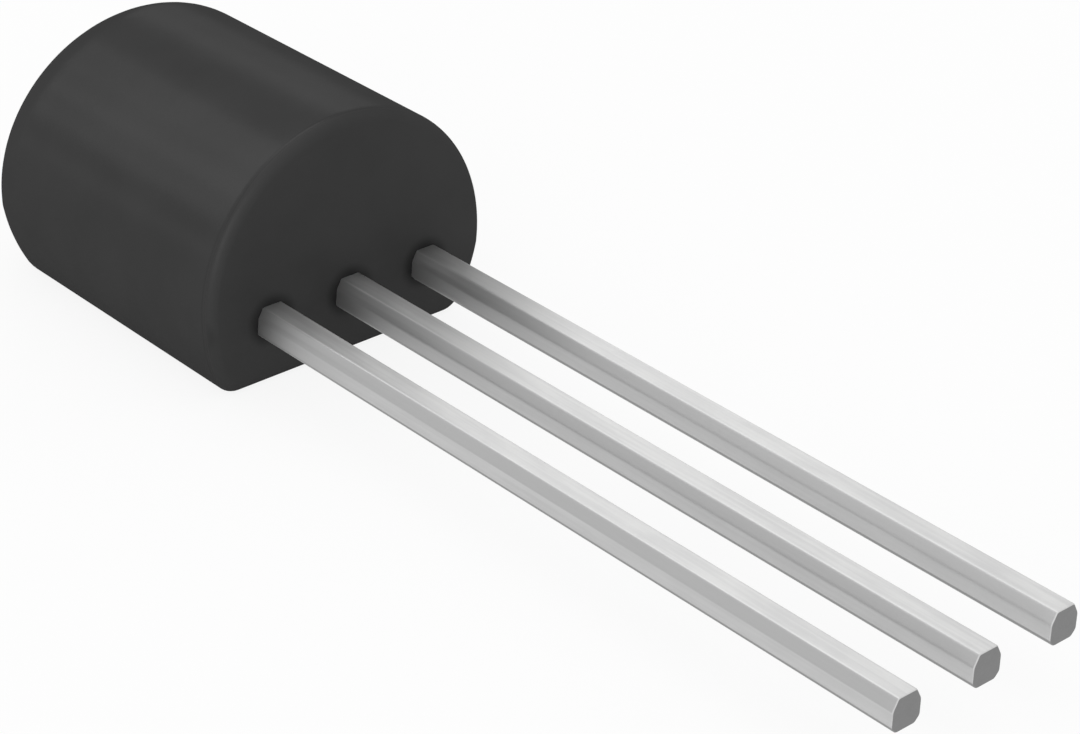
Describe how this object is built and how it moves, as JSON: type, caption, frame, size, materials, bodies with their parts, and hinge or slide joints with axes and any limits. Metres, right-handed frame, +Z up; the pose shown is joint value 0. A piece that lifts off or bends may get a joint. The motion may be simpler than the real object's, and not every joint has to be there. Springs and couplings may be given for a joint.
{
  "type": "voltage regulator",
  "caption": "Small voltage regulator: half-round black moulded body with one flat side and straight tinned leads in a row.",
  "frame": {"origin": "centre of the body's flat side, on which the part lies", "axes": "+X across the leads towards the input lead, +Y along the leads towards their tips, +Z up from the flat towards the round side"},
  "size_m": [0.0046, 0.0165, 0.0035],
  "materials": {
    "mould_epoxy": "fine spark-eroded mould finish, black filled epoxy",
    "tinned_strip": "matt tin plating over a punched and coined strip",
    "silicon": "polished silicon",
    "bonding_layer": "matt silver-filled",
    "bond_gold": "drawn gold wire"
  },
  "bodies": {
    "root": {"moulded_body": "mould_epoxy", "input_lead": "tinned_strip", "ground_lead": "tinned_strip", "output_lead": "tinned_strip", "regulator_die": "silicon", "die_attach": "bonding_layer", "input_wire": "bond_gold", "ground_wire": "bond_gold", "output_wire": "bond_gold"}
  },
  "joints": []
}
